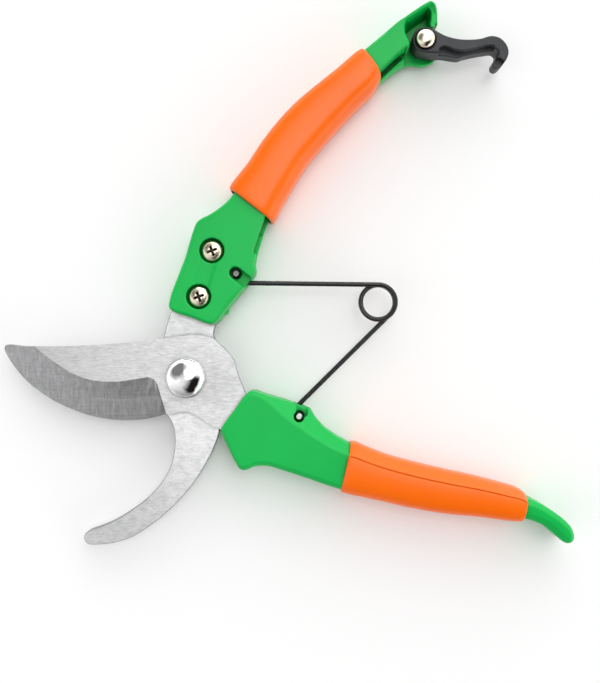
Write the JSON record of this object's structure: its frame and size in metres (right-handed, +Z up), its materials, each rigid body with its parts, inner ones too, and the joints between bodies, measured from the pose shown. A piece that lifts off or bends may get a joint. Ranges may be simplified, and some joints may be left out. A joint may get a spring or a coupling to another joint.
{
  "type": "pruning shears",
  "caption": "Bypass pruning shears lying open, with a hooked counter blade, sleeved handles, a hairpin spring and a swinging latch that holds them shut.",
  "frame": {"origin": "on the table under the pivot axis, at the end of the pivot bolt", "axes": "+Z up, square to the blades and along the pivot axis towards the bolt's head; +X from the blades towards the handles; +Y towards the upper handle"},
  "size_m": [0.188, 0.1794, 0.0156],
  "materials": {
    "blade_steel": "bare steel, finely brushed flat with a darker hollow-ground bevel",
    "hook_steel": "bare steel, brushed",
    "bolt_chrome": "bright plated",
    "fastener_steel": "zinc plated",
    "handle_green": "moulded, semi-gloss",
    "grip_orange": "soft vinyl sleeve, glossy",
    "screw_zinc": "yellowish plating",
    "pin_bright": "bright wire",
    "rivet_nickel": "nickel plated",
    "latch_plastic": "moulded, satin",
    "spring_black": "blackened wire"
  },
  "bodies": {
    "lower_arm": {"cutting_blade": "blade_steel", "pivot_bolt": "bolt_chrome", "pivot_washer": "fastener_steel", "pivot_nut": "fastener_steel", "lower_handle_front": "handle_green", "lower_handle_back": "handle_green", "lower_grip": "grip_orange", "lower_screws": "screw_zinc", "lower_spring_pin": "pin_bright"},
    "upper_arm": {"hook_blade": "hook_steel", "upper_handle_front": "handle_green", "upper_handle_back": "handle_green", "upper_grip": "grip_orange", "upper_screws": "screw_zinc", "upper_spring_pin": "pin_bright", "latch_rivet": "rivet_nickel"},
    "latch": {"latch_lever": "latch_plastic"},
    "spring_lower": {"spring_lower_leg": "spring_black"},
    "spring_upper": {"spring_upper_leg": "spring_black"}
  },
  "joints": [
    {"name": "handle_pivot", "type": "hinge", "parent": "lower_arm", "child": "upper_arm", "pos_m": [0, 0, 0.0078], "axis": [0, 0, -1], "range_deg": [0, 68.6], "stiffness_Nm_per_rad": 0.76, "springref_deg": -22.92},
    {"name": "latch_pivot", "type": "hinge", "parent": "upper_arm", "child": "latch", "pos_m": [0.0788, 0.1111, 0.0087], "axis": [0, 0, -1], "range_deg": [0, 22]},
    {"name": "spring_lower_pivot", "type": "hinge", "parent": "lower_arm", "child": "spring_lower", "pos_m": [0.0374, -0.0127, 0.00635], "axis": [0, 0, -1], "range_deg": [0, 64.8]},
    {"name": "spring_coil", "type": "hinge", "parent": "spring_lower", "child": "spring_upper", "pos_m": [0.0637, 0.0251, 0.0078], "axis": [0, 0, 1], "range_deg": [0, 54.9]}
  ],
  "couplings": [
    {"joint": "spring_lower_pivot", "follows": "handle_pivot", "ratio": 0.94},
    {"joint": "spring_coil", "follows": "handle_pivot", "ratio": 0.796}
  ]
}
